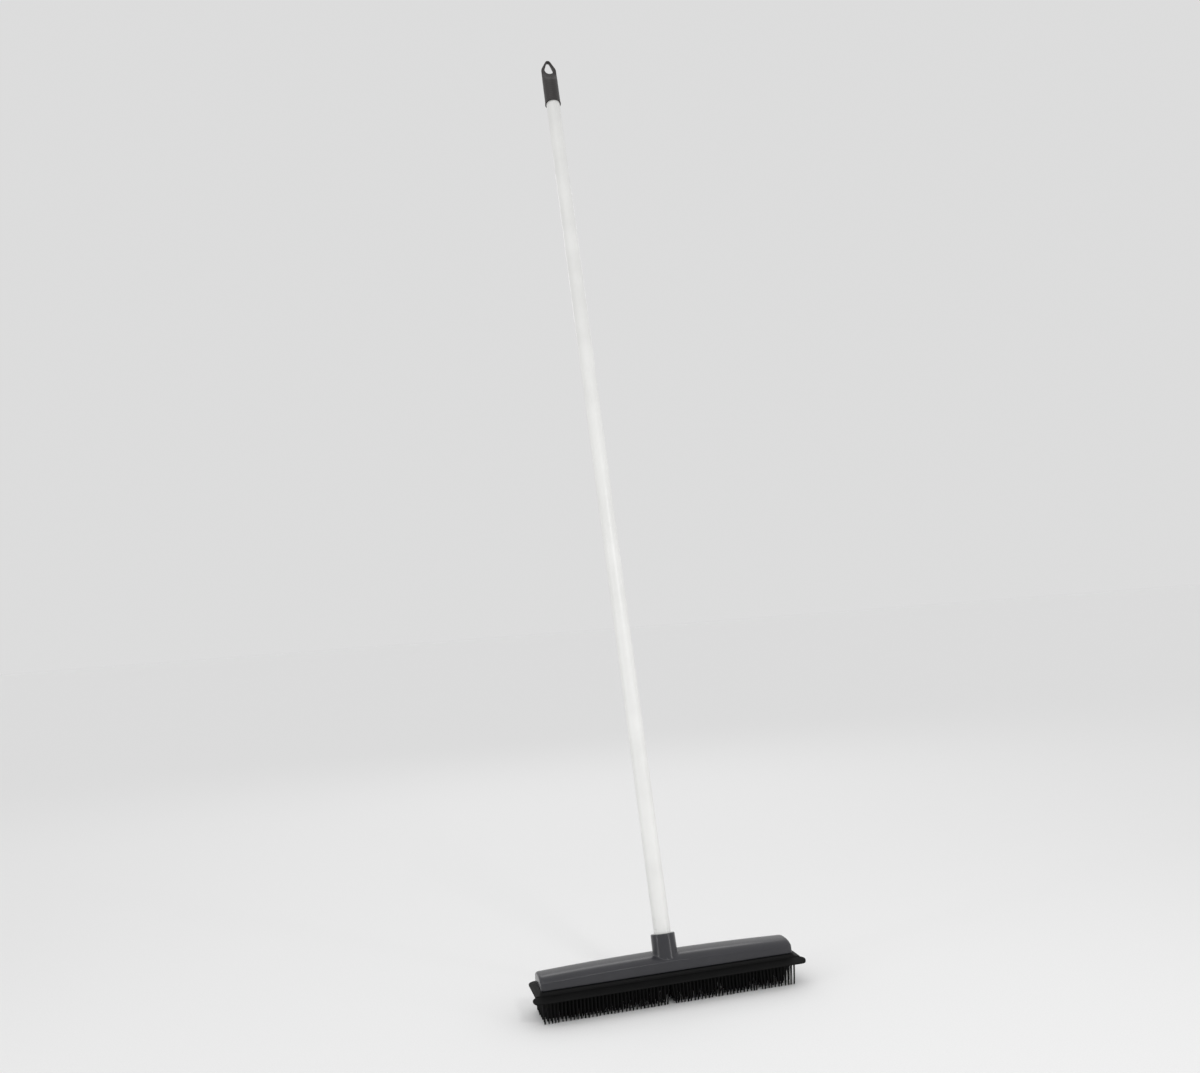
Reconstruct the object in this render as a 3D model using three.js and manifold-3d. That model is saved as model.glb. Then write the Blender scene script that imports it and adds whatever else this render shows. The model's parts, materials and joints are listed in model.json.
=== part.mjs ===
// Rubber floor sweeper: a domed plastic head with a moulded rubber brush under it, and a screw-in handle.
// Millimetres, +Z up. Origin at the centre of the bristle tips, under the middle of the head.
// +X runs along the head, +Y to the back, where the handle leans.
import * as THREE from "three";
import { mergeGeometries, mergeVertices } from "three/addons/utils/BufferGeometryUtils.js";
import Module from "manifold-3d";

const wasm = await Module();
wasm.setup();

// Clearances, and how far a cutting solid runs past what it cuts
const gap = 0.3;
const threadGap = 0.3;
const overshoot = 1;

// Flat faces that stand for a full round, or for one curve of an outline
const roundFacets = 24;
const collarFacets = 32;
const smallFacets = 12;
const cornerFacets = 3;
const eyeFacets = 6;

// Top cover
const coverLength = 330;
const coverWidth = 48;
const coverWall = 2.4;
const coverCornerRadius = 6;
const coverWallHeight = 9;
const coverArch = 3.6;
const coverDraft = 1;
const domeRise = 5.9;
const domePower = 3;
const domeSteps = 14;
const archSteps = 12;
const ribThickness = 1.6;

// Handle collar, moulded into the cover
const collarTilt = THREE.MathUtils.degToRad(12.9);
const collarWall = 4.1;
const collarFlare = 0.6;
const collarMouthChamfer = 1;
const collarMouthHeight = 40.9;
const collarAxisY = 2;
const collarRecessDepth = 10;
const collarRecessClearance = 0.4;
const collarBoreEnd = 1.5;
const collarFloor = 1.8;

// Rubber insert
const bristleLength = 32;
const bristleRootWidth = 2.8;
const bristleTipWidth = 2.2;
const bristleRootDepth = 1;
const bristleColumnPitch = 9.4;
const bristleRowPitch = 8.5;
const bristleEndInset = 4;
const bristleSideReach = 2;
const flangeThickness = 2.5;
const flangeEndReach = 8;
const flangeFrontReach = 2.4;
const flangeBackReach = 9;
const flangeCornerRadius = 10;
const rimReach = 1.9;
const rimHeight = 3.2;
const lipReach = 12.4;
const lipDrop = 4.2;
const lipEdgeThickness = 1.4;
const lipEndReach = 4.4;
const lipCornerRadius = 6.5;
const lipRoot = 2;

// Backing plate and its screws
const tongueThickness = 1.6;
const innerScrewX = 42;
const outerScrewInset = 15;
const screwLength = 12;
const screwEndRoom = 1;
const screwRadius = 1.6;
const screwHeadRadius = 3.3;
const screwHeadHeight = 1.7;
const screwSlotLength = 4;
const screwSlotWidth = 0.9;
const screwSlotDepth = 1;
const bossRadius = 4.2;

// Handle tube and the threaded tip in its lower end
const handleLength = 1400;
const tubeRadius = 11;
const tubeWall = 0.5;
const tipRimHeight = 2.6;
const tipSpigotLength = 24;
const tipWall = 2.2;
const threadLength = 20;
const threadPitch = 4;
const threadCrestInset = 0.7;
const threadDepth = 1.2;
const threadSides = 12;
const tipNoseLength = 2;
const tipNoseTaper = 1.1;

// Hanger cap on the upper end
const capLength = 86;
const capWall = 1.1;
const capLipHeight = 2;
const capLipReach = 0.6;
const capSocketDepth = 42;
const capShoulder = 44;
const capRibReach = 0.3;
const capRibPitch = 3.75;
const capRibHalfWidth = 1;
const capRibCount = 5;
const eyeThickness = 6;
const eyeHoleRadius = 7.4;
const eyeTipRadius = 3;
const eyeHoleLength = 24.5;
const eyeWall = 2.6;

// Heights, radii, counts and places that follow from the sizes above
const flangeTop = bristleLength + flangeThickness;
const plateBottom = flangeTop + gap;
const tongueTop = plateBottom + tongueThickness;
const rimTop = flangeTop + rimHeight;
const plateTop = rimTop;
const coverBottom = rimTop + gap;
const coverTop = coverBottom + coverWallHeight + domeRise + coverArch;
const collarRecessRadius = tubeRadius + collarRecessClearance;
const collarMouthRadius = collarRecessRadius + collarWall;
const collarFootRadius = collarMouthRadius + collarFlare;
const threadCrestRadius = tubeRadius - threadCrestInset;
const threadRootRadius = threadCrestRadius - threadDepth;
const bristleColumns = 2 * Math.floor((coverLength / 2 - bristleEndInset) / bristleColumnPitch) + 1;
const bristleRows = 2 * Math.floor((coverWidth / 2 + bristleSideReach) / bristleRowPitch) + 1;
const outerScrewX = coverLength / 2 - outerScrewInset;
const middleScrewX = (innerScrewX + outerScrewX) / 2;
const screwSpots = [-outerScrewX, -middleScrewX, -innerScrewX, innerScrewX, middleScrewX, outerScrewX];

// ---- Solids from three.js geometry ----

function solidOf(geometry) {
  const bare = geometry.clone();
  bare.deleteAttribute("normal");
  bare.deleteAttribute("uv");
  const merged = mergeVertices(bare, 1e-4);
  return new wasm.Manifold(
    new wasm.Mesh({
      numProp: 3,
      vertProperties: new Float32Array(merged.attributes.position.array),
      triVerts: new Uint32Array(merged.index.array),
    }),
  );
}

function geometryOf(solid) {
  const mesh = solid.getMesh();
  const geometry = new THREE.BufferGeometry();
  geometry.setAttribute("position", new THREE.BufferAttribute(mesh.vertProperties, 3));
  geometry.setIndex(new THREE.BufferAttribute(mesh.triVerts, 1));
  const flat = geometry.toNonIndexed();
  flat.computeVertexNormals();
  return flat;
}

function joined(solids) {
  return solids.reduce((whole, solid) => whole.add(solid));
}

function cut(solid, tools) {
  return tools.reduce((rest, tool) => rest.subtract(tool), solid);
}

// A plan outline drawn in X and Y, standing from one height to another.
function upright(shape, low, high) {
  const geometry = new THREE.ExtrudeGeometry(shape, {
    depth: high - low,
    bevelEnabled: false,
    curveSegments: cornerFacets,
  });
  return geometry.translate(0, 0, low);
}

// A section drawn in Y and Z, run along X and centred on it.
function alongX(shape, length, steps = 1) {
  const geometry = new THREE.ExtrudeGeometry(shape, { depth: length, steps, bevelEnabled: false });
  const axes = new THREE.Matrix4().makeBasis(
    new THREE.Vector3(0, 1, 0),
    new THREE.Vector3(0, 0, 1),
    new THREE.Vector3(1, 0, 0),
  );
  return geometry.applyMatrix4(axes).translate(-length / 2, 0, 0);
}

// A profile of [radius, height] pairs turned round Z.
function turned(profile, segments = roundFacets) {
  const points = profile.map(([radius, height]) => new THREE.Vector2(radius, height));
  return new THREE.LatheGeometry(points, segments).rotateX(Math.PI / 2);
}

function rod(radius, low, high, segments = smallFacets) {
  const profile = [
    [0, low],
    [radius, low],
    [radius, high],
    [0, high],
  ];
  return turned(profile, segments);
}

function box(sizeX, sizeY, low, high) {
  return new THREE.BoxGeometry(sizeX, sizeY, high - low).translate(0, 0, (low + high) / 2);
}

function roundedRectangle(halfX, halfY, radius) {
  const shape = new THREE.Shape();
  shape.moveTo(halfX, -halfY + radius);
  shape.absarc(halfX - radius, halfY - radius, radius, 0, Math.PI / 2);
  shape.absarc(-halfX + radius, halfY - radius, radius, Math.PI / 2, Math.PI);
  shape.absarc(-halfX + radius, -halfY + radius, radius, Math.PI, Math.PI * 1.5);
  shape.absarc(halfX - radius, -halfY + radius, radius, Math.PI * 1.5, Math.PI * 2);
  return shape;
}

// The cover's plan outline, grown or shrunk all round.
function coverOutline(reach) {
  return roundedRectangle(coverLength / 2 + reach, coverWidth / 2 + reach, coverCornerRadius + reach);
}

// ---- Screw thread ----
// A cross-section of a one-start thread is the same at every height, only turned, so the thread is a cam-shaped
// outline extruded along Z and twisted one turn each pitch.

function threadRadius(phase) {
  const crest = 1 / 3;
  const flank = 1 / 6;
  const away = Math.abs(phase - Math.round(phase)) - crest / 2;
  const fall = THREE.MathUtils.clamp(away / flank, 0, 1);
  return THREE.MathUtils.lerp(threadCrestRadius, threadRootRadius, fall);
}

function threadedRod(low, high, radiusAt) {
  const outline = [];
  for (let side = 0; side < threadSides; side += 1) {
    const angle = (side / threadSides) * Math.PI * 2;
    const radius = radiusAt(side / threadSides);
    outline.push(new THREE.Vector2(radius * Math.cos(angle), radius * Math.sin(angle)));
  }
  const stepHeight = threadPitch / threadSides;
  const steps = Math.round((high - low) / stepHeight);
  const geometry = new THREE.ExtrudeGeometry(new THREE.Shape(outline), {
    depth: steps * stepHeight,
    steps,
    bevelEnabled: false,
  });
  const position = geometry.attributes.position;
  const point = new THREE.Vector3();
  const axis = new THREE.Vector3(0, 0, 1);
  for (let i = 0; i < position.count; i += 1) {
    point.fromBufferAttribute(position, i);
    point.z += low;
    point.applyAxisAngle(axis, (point.z / threadPitch) * Math.PI * 2);
    position.setXYZ(i, point.x, point.y, point.z);
  }
  return solidOf(geometry);
}

// The nut's thread clears the screw's by a gap outwards and by one step each way along it.
function nutRadius(phase) {
  const step = 1 / threadSides;
  const widest = Math.max(threadRadius(phase - step), threadRadius(phase), threadRadius(phase + step));
  return widest / Math.cos(Math.PI / threadSides) + threadGap;
}

// ---- Handle axis ----
// Handle pieces are drawn upright with height 0 at the collar's mouth, then leaned back and lifted into place.

const collarMouth = new THREE.Vector3(0, collarAxisY, coverBottom + collarMouthHeight);
const lean = new THREE.Matrix4().makeRotationX(-collarTilt).setPosition(collarMouth);

const tipShoulder = -collarRecessDepth + gap;
const tubeLow = tipShoulder + tipRimHeight + gap;
const tipEnd = tipShoulder - threadLength - tipNoseLength;
const boreLow = tipEnd - collarBoreEnd;
const capHigh = tipEnd + handleLength;
const capLow = capHigh - capLength;
const tubeHigh = capLow + capSocketDepth - gap;

// ---- Top cover ----

function coverBody(inset) {
  const halfFoot = coverWidth / 2 - inset;
  const halfCrease = halfFoot - coverDraft;
  const crease = coverWallHeight - inset / 2;
  const rise = domeRise - inset / 2;
  const foot = inset > 0 ? -overshoot : 0;
  const section = new THREE.Shape();
  section.moveTo(halfFoot, foot);
  for (let step = 0; step <= domeSteps; step += 1) {
    const across = 1 - (2 * step) / domeSteps;
    section.lineTo(halfCrease * across, crease + rise * (1 - Math.abs(across) ** domePower));
  }
  section.lineTo(-halfFoot, foot);
  section.closePath();
  const geometry = alongX(section, coverLength + 2 * overshoot, archSteps);
  const position = geometry.attributes.position;
  for (let i = 0; i < position.count; i += 1) {
    const along = position.getX(i) / (coverLength / 2);
    const height = position.getZ(i);
    const lift = coverArch * (1 - along * along) * THREE.MathUtils.clamp(height / crease, 0, 1);
    position.setZ(i, height + lift + coverBottom);
  }
  const plan = upright(coverOutline(-inset), coverBottom - 2 * overshoot, coverTop + overshoot);
  return solidOf(geometry).intersect(solidOf(plan));
}

function coverRib(x) {
  return solidOf(box(ribThickness, coverWidth, coverBottom + gap, coverTop).translate(x, 0, 0));
}

function topCover() {
  const outer = coverBody(0);
  const cavity = coverBody(coverWall);
  const bosses = screwSpots.map((x) => solidOf(rod(bossRadius, coverBottom, coverTop).translate(x, 0, 0)));
  const inside = joined([...bosses, ...screwSpots.map(coverRib)]).intersect(outer);
  const collar = turned([
    [0, boreLow - collarFloor],
    [collarFootRadius - coverWall, boreLow - collarFloor],
    [collarFootRadius, boreLow + coverWall],
    [collarMouthRadius, -collarMouthChamfer],
    [collarMouthRadius - collarMouthChamfer, 0],
    [0, 0],
  ], collarFacets);
  const recess = solidOf(rod(collarRecessRadius, -collarRecessDepth, overshoot, roundFacets));
  const thread = threadedRod(boreLow, -collarRecessDepth + overshoot, nutRadius);
  const pilots = screwSpots.map((x) => {
    const hole = rod(screwRadius + gap, coverBottom - overshoot, plateBottom + screwLength + screwEndRoom);
    return solidOf(hole.translate(x, 0, 0));
  });
  const bores = joined([recess, thread]).transform(lean.elements);
  return cut(joined([outer.subtract(cavity), inside, solidOf(collar).transform(lean.elements)]), [bores, ...pilots]);
}

// ---- Rubber insert ----

const foldX = coverLength / 2 + flangeEndReach;
const foldY = -coverWidth / 2 - flangeFrontReach;
const backY = coverWidth / 2 + flangeBackReach;

function flangeOutline() {
  const shape = new THREE.Shape();
  shape.moveTo(-foldX, foldY);
  shape.lineTo(foldX, foldY);
  shape.absarc(foldX - flangeCornerRadius, backY - flangeCornerRadius, flangeCornerRadius, 0, Math.PI / 2);
  shape.absarc(-foldX + flangeCornerRadius, backY - flangeCornerRadius, flangeCornerRadius, Math.PI / 2, Math.PI);
  return shape;
}

// The lip's ends bulge past the fold and turn into the edge with a round corner.
function lipOutline() {
  const endX = foldX + lipEndReach;
  const edgeY = foldY - lipReach;
  const bulgeY = foldY - lipCornerRadius / 3;
  const shape = new THREE.Shape();
  shape.moveTo(-foldX, foldY + lipRoot);
  shape.lineTo(-foldX, foldY);
  shape.quadraticCurveTo(-endX, bulgeY, -endX, edgeY + lipCornerRadius);
  shape.absarc(-endX + lipCornerRadius, edgeY + lipCornerRadius, lipCornerRadius, Math.PI, Math.PI * 1.5);
  shape.absarc(endX - lipCornerRadius, edgeY + lipCornerRadius, lipCornerRadius, Math.PI * 1.5, Math.PI * 2);
  shape.quadraticCurveTo(endX, bulgeY, foldX, foldY);
  shape.lineTo(foldX, foldY + lipRoot);
  return shape;
}

function lip() {
  const edgeY = foldY - lipReach;
  const edgeTop = flangeTop - lipDrop;
  const section = new THREE.Shape([
    new THREE.Vector2(foldY + lipRoot, bristleLength),
    new THREE.Vector2(foldY + lipRoot, flangeTop),
    new THREE.Vector2(foldY, flangeTop),
    new THREE.Vector2(edgeY, edgeTop),
    new THREE.Vector2(edgeY, edgeTop - lipEdgeThickness),
    new THREE.Vector2(foldY, bristleLength),
  ].reverse());
  const strip = alongX(section, 2 * (foldX + lipEndReach + overshoot));
  return solidOf(strip).intersect(solidOf(upright(lipOutline(), 0, flangeTop + overshoot)));
}

// One square, tapered bristle hanging from the flange.
function bristle(x, y) {
  const half = bristleRootWidth / 2;
  const square = new THREE.Shape([
    new THREE.Vector2(-half, -half),
    new THREE.Vector2(half, -half),
    new THREE.Vector2(half, half),
    new THREE.Vector2(-half, half),
  ]);
  const geometry = upright(square, 0, bristleLength + bristleRootDepth);
  const taper = bristleTipWidth / bristleRootWidth;
  const position = geometry.attributes.position;
  for (let i = 0; i < position.count; i += 1) {
    if (position.getZ(i) === 0) {
      position.setXY(i, position.getX(i) * taper, position.getY(i) * taper);
    }
  }
  return geometry.translate(x, y, 0);
}

function bristleField() {
  const bristles = [];
  for (let row = 0; row < bristleRows; row += 1) {
    for (let column = 0; column < bristleColumns; column += 1) {
      const x = (column - (bristleColumns - 1) / 2) * bristleColumnPitch;
      const y = (row - (bristleRows - 1) / 2) * bristleRowPitch;
      bristles.push(bristle(x, y));
    }
  }
  return solidOf(mergeGeometries(bristles));
}

function rubberInsert() {
  const flange = solidOf(upright(flangeOutline(), bristleLength, flangeTop));
  const rim = solidOf(upright(coverOutline(rimReach), bristleLength, rimTop));
  const tongueGroove = solidOf(upright(coverOutline(gap), flangeTop, tongueTop + gap));
  const padHole = solidOf(upright(coverOutline(-coverWall + gap), flangeTop, rimTop + overshoot));
  return cut(joined([flange, rim, lip()]), [tongueGroove, padHole]).add(bristleField());
}

// ---- Backing plate and screws ----

function screwProfile(reach) {
  const shank = screwRadius + reach;
  const head = screwHeadRadius + reach;
  return [
    [0, plateBottom - reach],
    [head, plateBottom - reach],
    [shank, plateBottom + screwHeadHeight],
    [shank, plateBottom + screwLength],
    [0, plateBottom + screwLength],
  ];
}

function backingPlate() {
  const tongue = solidOf(upright(coverOutline(0), plateBottom, tongueTop));
  const pad = solidOf(upright(coverOutline(-coverWall), plateBottom, plateTop));
  const holes = screwSpots.map((x) => solidOf(turned(screwProfile(gap), smallFacets).translate(x, 0, 0)));
  return cut(tongue.add(pad), holes);
}

function plateScrew(x) {
  const shank = turned(screwProfile(0), smallFacets).translate(x, 0, 0);
  const slotTop = plateBottom + screwSlotDepth;
  const slots = [
    box(screwSlotLength, screwSlotWidth, plateBottom - overshoot, slotTop).translate(x, 0, 0),
    box(screwSlotWidth, screwSlotLength, plateBottom - overshoot, slotTop).translate(x, 0, 0),
  ];
  return cut(solidOf(shank), slots.map(solidOf));
}

// ---- Handle ----

function handleTube() {
  const inner = tubeRadius - tubeWall;
  const profile = [
    [inner, tubeLow],
    [tubeRadius, tubeLow],
    [tubeRadius, tubeHigh],
    [inner, tubeHigh],
    [inner, tubeLow],
  ];
  return solidOf(turned(profile));
}

function threadTip() {
  const spigotRadius = tubeRadius - tubeWall - gap;
  const spigotTop = tubeLow + tipSpigotLength;
  const threadLow = tipShoulder - threadLength;
  const thread = threadedRod(threadLow, tipShoulder + overshoot, threadRadius);
  const rim = turned([
    [0, tipShoulder],
    [tubeRadius, tipShoulder],
    [tubeRadius, tipShoulder + tipRimHeight],
    [spigotRadius, tipShoulder + tipRimHeight],
    [spigotRadius, spigotTop],
    [0, spigotTop],
  ]);
  const nose = turned([
    [0, tipEnd],
    [threadRootRadius - tipNoseTaper, tipEnd],
    [threadRootRadius, threadLow + overshoot],
    [0, threadLow + overshoot],
  ]);
  const hollow = rod(spigotRadius - tipWall, tipShoulder, spigotTop + overshoot);
  return joined([thread, solidOf(rim), solidOf(nose)]).subtract(solidOf(hollow));
}

const capRadius = tubeRadius + gap + capWall;
const eyeTipHeight = capHigh - eyeWall - eyeTipRadius;
const eyeRoundHeight = capHigh - eyeWall - eyeHoleLength + eyeHoleRadius;

// The straight sides of a drop touch both its arcs at this angle.
function dropSideAngle(wide, narrow) {
  return Math.asin((wide - narrow) / (eyeTipHeight - eyeRoundHeight));
}

// The hole's outline in X and height: round and wide below, narrow at the top.
function eyeHoleOutline() {
  const side = dropSideAngle(eyeHoleRadius, eyeTipRadius);
  const shape = new THREE.Shape();
  shape.absarc(0, eyeTipHeight, eyeTipRadius, side, Math.PI - side);
  shape.absarc(0, eyeRoundHeight, eyeHoleRadius, Math.PI - side, Math.PI * 2 + side);
  return shape;
}

// The cap seen from the front: straight sides up to the eye, then drawn in round its narrow end.
function capFrontOutline() {
  const tip = eyeTipRadius + eyeWall;
  const reach = capRadius + capLipReach;
  const side = dropSideAngle(capRadius, tip);
  const shape = new THREE.Shape();
  shape.moveTo(-reach, capLow);
  shape.lineTo(reach, capLow);
  shape.lineTo(reach, capLow + capShoulder);
  shape.absarc(0, eyeRoundHeight, capRadius, 0, side);
  shape.absarc(0, eyeTipHeight, tip, side, Math.PI - side);
  shape.absarc(0, eyeRoundHeight, capRadius, Math.PI - side, Math.PI);
  shape.lineTo(-reach, capLow + capShoulder);
  return shape;
}

// The cap seen from the side, in Y and height: full thickness up to the shoulder, then down to the flat eye.
function capSideOutline() {
  const full = capRadius + capLipReach;
  const flat = eyeThickness / 2;
  const eyeBottom = eyeRoundHeight - eyeHoleRadius;
  return new THREE.Shape([
    new THREE.Vector2(-full, capLow),
    new THREE.Vector2(full, capLow),
    new THREE.Vector2(full, capLow + capShoulder),
    new THREE.Vector2(flat, eyeBottom),
    new THREE.Vector2(flat, capHigh),
    new THREE.Vector2(-flat, capHigh),
    new THREE.Vector2(-flat, eyeBottom),
    new THREE.Vector2(-full, capLow + capShoulder),
  ]);
}

// An outline in X and height, run along Y.
function alongY(shape, length) {
  const geometry = new THREE.ExtrudeGeometry(shape, {
    depth: length,
    bevelEnabled: false,
    curveSegments: eyeFacets,
  });
  return geometry.translate(0, 0, -length / 2).rotateX(Math.PI / 2);
}

function hangerCap() {
  const profile = [
    [0, capLow],
    [capRadius + capLipReach, capLow],
    [capRadius + capLipReach, capLow + capLipHeight],
    [capRadius, capLow + capLipHeight + capLipReach],
  ];
  for (let rib = 1; rib <= capRibCount; rib += 1) {
    const height = capLow + capLipHeight + rib * capRibPitch;
    profile.push(
      [capRadius, height - capRibHalfWidth],
      [capRadius + capRibReach, height],
      [capRadius, height + capRibHalfWidth],
    );
  }
  profile.push([capRadius, capHigh], [0, capHigh]);
  const across = 3 * capRadius;
  const body = solidOf(turned(profile))
    .intersect(solidOf(alongY(capFrontOutline(), across)))
    .intersect(solidOf(alongX(capSideOutline(), across)));
  const socket = solidOf(rod(tubeRadius + gap, capLow - overshoot, capLow + capSocketDepth, roundFacets));
  return cut(body, [socket, solidOf(alongY(eyeHoleOutline(), across))]);
}

// ---- Scene ----

const coverPlastic = new THREE.MeshStandardMaterial({ color: 0x46464b, roughness: 0.35, metalness: 0 });
const rubber = new THREE.MeshStandardMaterial({ color: 0x171717, roughness: 0.75, metalness: 0 });
const platePlastic = new THREE.MeshStandardMaterial({ color: 0x2b2b2d, roughness: 0.6, metalness: 0 });
const screwSteel = new THREE.MeshStandardMaterial({ color: 0x9a9a9c, roughness: 0.4, metalness: 1 });
const whitePaint = new THREE.MeshStandardMaterial({ color: 0xf4f4f2, roughness: 0.3, metalness: 0 });
const tipPlastic = new THREE.MeshStandardMaterial({ color: 0x1b1b1c, roughness: 0.5, metalness: 0 });
const capPlastic = new THREE.MeshStandardMaterial({ color: 0x2f2b2b, roughness: 0.5, metalness: 0 });

function named(name, solid, material) {
  const mesh = new THREE.Mesh(geometryOf(solid), material);
  mesh.name = name;
  return mesh;
}

const head = new THREE.Group();
head.add(named("top_cover", topCover(), coverPlastic));
head.add(named("rubber_insert", rubberInsert(), rubber));
head.add(named("backing_plate", backingPlate(), platePlastic));
screwSpots.forEach((x, i) => head.add(named(`plate_screw_${i + 1}`, plateScrew(x), screwSteel)));

const handle = new THREE.Group();
handle.position.copy(collarMouth);
handle.rotation.x = -collarTilt;
handle.add(named("handle_tube", handleTube(), whitePaint));
handle.add(named("thread_tip", threadTip(), tipPlastic));
handle.add(named("hanger_cap", hangerCap(), capPlastic));

const sweeper = new THREE.Group();
sweeper.add(head, handle);

export default sweeper;
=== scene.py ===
import json
import math
import random

import bmesh
import bpy
from mathutils import Matrix, Vector


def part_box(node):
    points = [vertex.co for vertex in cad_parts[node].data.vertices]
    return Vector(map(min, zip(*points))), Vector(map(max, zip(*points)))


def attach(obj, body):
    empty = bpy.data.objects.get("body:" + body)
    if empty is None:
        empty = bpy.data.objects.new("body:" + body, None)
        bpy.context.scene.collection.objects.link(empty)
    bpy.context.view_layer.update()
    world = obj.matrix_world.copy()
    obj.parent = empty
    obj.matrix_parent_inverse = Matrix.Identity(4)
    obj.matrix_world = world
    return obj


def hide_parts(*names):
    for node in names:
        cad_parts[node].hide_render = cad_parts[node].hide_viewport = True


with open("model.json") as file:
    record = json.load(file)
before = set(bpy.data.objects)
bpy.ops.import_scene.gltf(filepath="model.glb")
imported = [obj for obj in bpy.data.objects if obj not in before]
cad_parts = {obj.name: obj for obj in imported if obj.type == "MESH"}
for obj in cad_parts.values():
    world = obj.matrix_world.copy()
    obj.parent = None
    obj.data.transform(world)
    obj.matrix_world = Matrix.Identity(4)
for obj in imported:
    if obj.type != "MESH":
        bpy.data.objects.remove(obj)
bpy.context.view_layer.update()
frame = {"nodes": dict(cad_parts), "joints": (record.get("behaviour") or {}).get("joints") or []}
print("frame loaded")

# shapes are drawn in millimetres and scaled to metres when a piece is finished
metresPerMm = 0.001
mmPerMetre = 1000

turnJoint = next(joint for joint in frame["joints"] if joint["name"] == "handle_turn")
mouth = Vector(turnJoint["pos_m"]) * mmPerMetre
handleAxis = Vector(turnJoint["axis"]).normalized()
handleTurn = Vector((0, 0, 1)).rotation_difference(handleAxis).to_matrix().to_4x4()
# handle pieces are drawn upright, with height 0 at the collar's mouth, and then leaned
lean = Matrix.Translation(mouth) @ handleTurn


def boxInMm(node):
    low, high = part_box(node)
    return low * mmPerMetre, high * mmPerMetre


def spanOnHandle(node):    # lowest and highest height of a CAD node, measured along the handle
    toUpright = lean.inverted()
    heights = [(toUpright @ (v.co * mmPerMetre)).z for v in frame["nodes"][node].data.vertices]
    return min(heights), max(heights)


def edgesAlong(bm, chain):
    return [bm.edges.get((a, b)) for a, b in zip(chain, chain[1:])]


def growEdges(bm, chain, edges):    # extrudes the edges and returns the new vertices in the chain's order
    made = bmesh.ops.extrude_edge_only(bm, edges=edges)["geom"]
    fresh = {g for g in made if isinstance(g, bmesh.types.BMVert)}
    return [next(e.other_vert(v) for e in v.link_edges if e.other_vert(v) in fresh) for v in chain]


def growLoop(bm, loop):    # the same for a closed loop of vertices
    return growEdges(bm, loop, edgesAlong(bm, loop + loop[:1]))


def closeLoop(bm, loop):
    bmesh.ops.edgeloop_fill(bm, edges=edgesAlong(bm, loop + loop[:1]))


def turnOf(y, x):    # angle from 0 to a full turn
    return math.atan2(y, x) % (2 * math.pi)


def evenTurns(count):
    return [2 * math.pi * i / count for i in range(count)]


def circleLoop(bm, count):
    made = bmesh.ops.create_circle(bm, segments=count, radius=1)["verts"]
    return sorted(made, key=lambda v: turnOf(v.co.y, v.co.x))


def joinChain(bm, points):    # a few points joined by edges, as a profile to spin or extrude
    chain = [bmesh.ops.create_vert(bm, co=point)["vert"][0] for point in points]
    for a, b in zip(chain, chain[1:]):
        bmesh.ops.contextual_create(bm, geom=[a, b])
    return chain


def spinProfile(bm, profile, steps):    # profile is a list of (radius, height), turned round Z
    chain = joinChain(bm, [(radius, 0, height) for radius, height in profile])
    bmesh.ops.spin(bm, geom=chain + edgesAlong(bm, chain), cent=(0, 0, 0), axis=(0, 0, 1), angle=2 * math.pi,
                   steps=steps, use_merge=True, use_duplicate=False)
    bmesh.ops.remove_doubles(bm, verts=bm.verts, dist=1e-4)


def smoothStep(t):
    t = max(0.0, min(1.0, t))
    return t * t * (3 - 2 * t)


def makePiece(name, bm, material, body, replaced, place=None, sharpAngle=38):
    if place is not None:
        bmesh.ops.transform(bm, matrix=place, verts=bm.verts)
    bmesh.ops.scale(bm, vec=(metresPerMm,) * 3, verts=bm.verts)
    bmesh.ops.recalc_face_normals(bm, faces=bm.faces)
    mesh = bpy.data.meshes.new(name)
    bm.to_mesh(mesh)
    bm.free()
    mesh.materials.append(material)
    mesh.shade_smooth()
    mesh.set_sharp_from_angle(angle=math.radians(sharpAngle))
    piece = bpy.data.objects.new(name, mesh)
    bpy.context.scene.collection.objects.link(piece)
    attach(piece, body)
    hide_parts(replaced)
    print("made", name, len(mesh.polygons), "faces")


def linear(hexColour):
    def channel(value):
        return value / 12.92 if value <= 0.04045 else ((value + 0.055) / 1.055) ** 2.4
    parts = [int(hexColour[i:i + 2], 16) / 255 for i in (1, 3, 5)]
    return tuple(channel(value) for value in parts) + (1,)


def addNode(tree, kind, settings=None, links=None):    # settings are socket values or properties of the node
    node = tree.nodes.new(kind)
    for key, value in (settings or {}).items():
        if node.inputs.get(key) is not None:
            node.inputs[key].default_value = value
        else:
            setattr(node, key, value)
    for key, source in (links or {}).items():
        tree.links.new(source, node.inputs[key])
    return node


def startMaterial(name, settings):
    material = bpy.data.materials.new(name)
    material.use_nodes = True
    tree = material.node_tree
    shader = tree.nodes["Principled BSDF"]
    for key, value in settings.items():
        shader.inputs[key].default_value = value
    place = addNode(tree, "ShaderNodeTexCoord").outputs["Object"]
    return material, tree, shader, place


def tintBetween(tree, shader, source, dark, light, low=0.35, high=0.65):
    ramp = addNode(tree, "ShaderNodeValToRGB", {}, {"Fac": source})
    first, last = ramp.color_ramp.elements
    first.position, first.color = low, linear(dark)
    last.position, last.color = high, linear(light)
    tree.links.new(ramp.outputs["Color"], shader.inputs["Base Color"])


def roughBetween(tree, shader, source, low, high):
    limits = {"From Min": 0.3, "From Max": 0.7, "To Min": low, "To Max": high}
    spread = addNode(tree, "ShaderNodeMapRange", limits, {"Value": source})
    tree.links.new(spread.outputs["Result"], shader.inputs["Roughness"])


def bumpFrom(tree, shader, source, heightMm):
    settings = {"Distance": heightMm * metresPerMm, "Strength": 1.0}
    bump = addNode(tree, "ShaderNodeBump", settings, {"Height": source})
    tree.links.new(bump.outputs["Normal"], shader.inputs["Normal"])


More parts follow.
